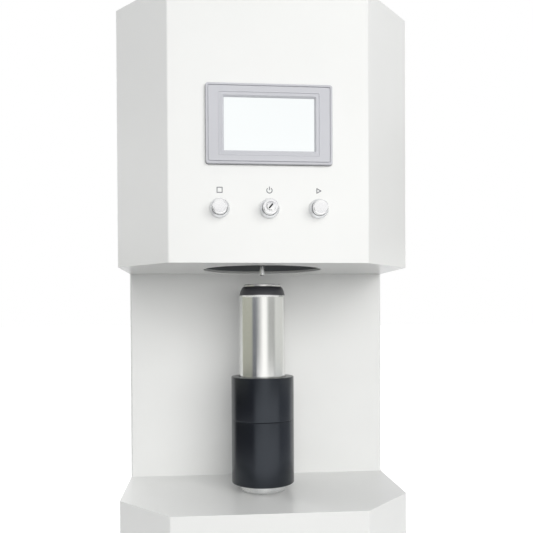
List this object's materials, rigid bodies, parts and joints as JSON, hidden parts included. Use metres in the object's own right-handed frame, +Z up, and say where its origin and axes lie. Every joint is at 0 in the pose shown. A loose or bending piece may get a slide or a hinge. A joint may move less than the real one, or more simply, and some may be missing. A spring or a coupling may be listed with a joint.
{
  "type": "can filling machine",
  "caption": "Desk-top machine that lifts an open can on a round pedestal into its head and fills it through a thin tube, run by touch screen and buttons.",
  "frame": {"origin": "on the floor under the middle of the bounding box", "axes": "+X to the right seen from the front, +Y to the rear, +Z up; the screen faces -Y"},
  "size_m": [0.3548, 0.373, 0.765],
  "materials": {
    "white_paint": "smooth semi-gloss powder coat",
    "zinc_steel": "zinc plated",
    "stainless": "fine brushed",
    "polished_steel": "ground and polished",
    "can_aluminium": "bright drawn",
    "aluminium": "turned, satin anodised",
    "black_plastic": "turned, satin",
    "rubber": "matt",
    "bezel_plastic": "fine grain",
    "grey_plastic": "fine grain",
    "screen_glass": "lit white screen behind a clear foil",
    "bronze": "sintered",
    "hose_clear": "milky silicone",
    "hose_blue": "smooth",
    "brass": "nickel plated",
    "motor_paint": "satin"
  },
  "bodies": {
    "housing": {"base_casing": "white_paint", "base_tray": "zinc_steel", "rubber_feet": "rubber", "foot_bolts": "zinc_steel", "casing_screws": "stainless", "frame": "zinc_steel", "column_casing": "white_paint", "head_casing": "white_paint", "head_underside": "white_paint", "rear_cover": "white_paint", "rear_cover_screws": "stainless", "splash_shroud": "grey_plastic", "nozzle_bracket": "aluminium", "bracket_bolts": "zinc_steel", "nozzle_block": "stainless", "nozzle_gland": "stainless", "filling_tube": "stainless", "product_hose": "hose_clear", "product_inlet": "stainless", "inlet_nut": "stainless", "pump_housing": "grey_plastic", "pump_motor": "motor_paint", "screen_bezel": "bezel_plastic", "screen_glass": "screen_glass", "screen_case": "grey_plastic", "screen_clamps": "grey_plastic", "stop_collar": "stainless", "power_collar": "stainless", "start_collar": "stainless", "button_nuts": "stainless", "button_contacts": "grey_plastic", "cylinder_base_cap": "aluminium", "cylinder_barrel": "aluminium", "cylinder_head_cap": "aluminium", "rod_bush": "bronze", "rod_wiper": "rubber", "tie_rods": "zinc_steel", "tie_rod_nuts": "zinc_steel", "cylinder_bolts": "zinc_steel", "air_valve": "aluminium", "valve_coil": "black_plastic", "air_fittings": "brass", "air_hoses": "hose_blue", "air_inlet": "brass", "mains_inlet": "black_plastic", "mounting_panel": "zinc_steel", "controller": "grey_plastic", "power_supply": "zinc_steel"},
    "lift": {"piston": "aluminium", "piston_seal": "rubber", "piston_rod": "polished_steel", "rod_nut": "zinc_steel", "lift_plate": "aluminium", "holder_block": "black_plastic", "can_sleeve": "black_plastic"},
    "can": {"can": "can_aluminium"},
    "stop_button": {"stop_button": "stainless"},
    "start_button": {"start_button": "stainless"},
    "power_lock": {"power_lock": "stainless"},
    "pump_rotor": {"pump_rotor": "grey_plastic"}
  },
  "joints": [
    {"name": "lift_travel", "type": "slide", "parent": "housing", "child": "lift", "axis": [0, 0, 1], "range_m": [0, 0.09]},
    {"name": "can_lift_out", "type": "slide", "parent": "lift", "child": "can", "axis": [0, 0, 1], "range_m": [0, 0.052]},
    {"name": "stop_press", "type": "slide", "parent": "housing", "child": "stop_button", "axis": [0, 1, 0], "range_m": [0, 0.003], "stiffness_N_per_m": 600, "springref_m": -0.003},
    {"name": "start_press", "type": "slide", "parent": "housing", "child": "start_button", "axis": [0, 1, 0], "range_m": [0, 0.003], "stiffness_N_per_m": 600, "springref_m": -0.003},
    {"name": "power_turn", "type": "hinge", "parent": "housing", "child": "power_lock", "pos_m": [0, -0.1695, 0.522], "axis": [0, 1, 0], "range_deg": [0, 90]},
    {"name": "pump_spin", "type": "hinge", "parent": "housing", "child": "pump_rotor", "pos_m": [0.08, 0, 0.674], "axis": [0, 1, 0], "continuous": true}
  ]
}
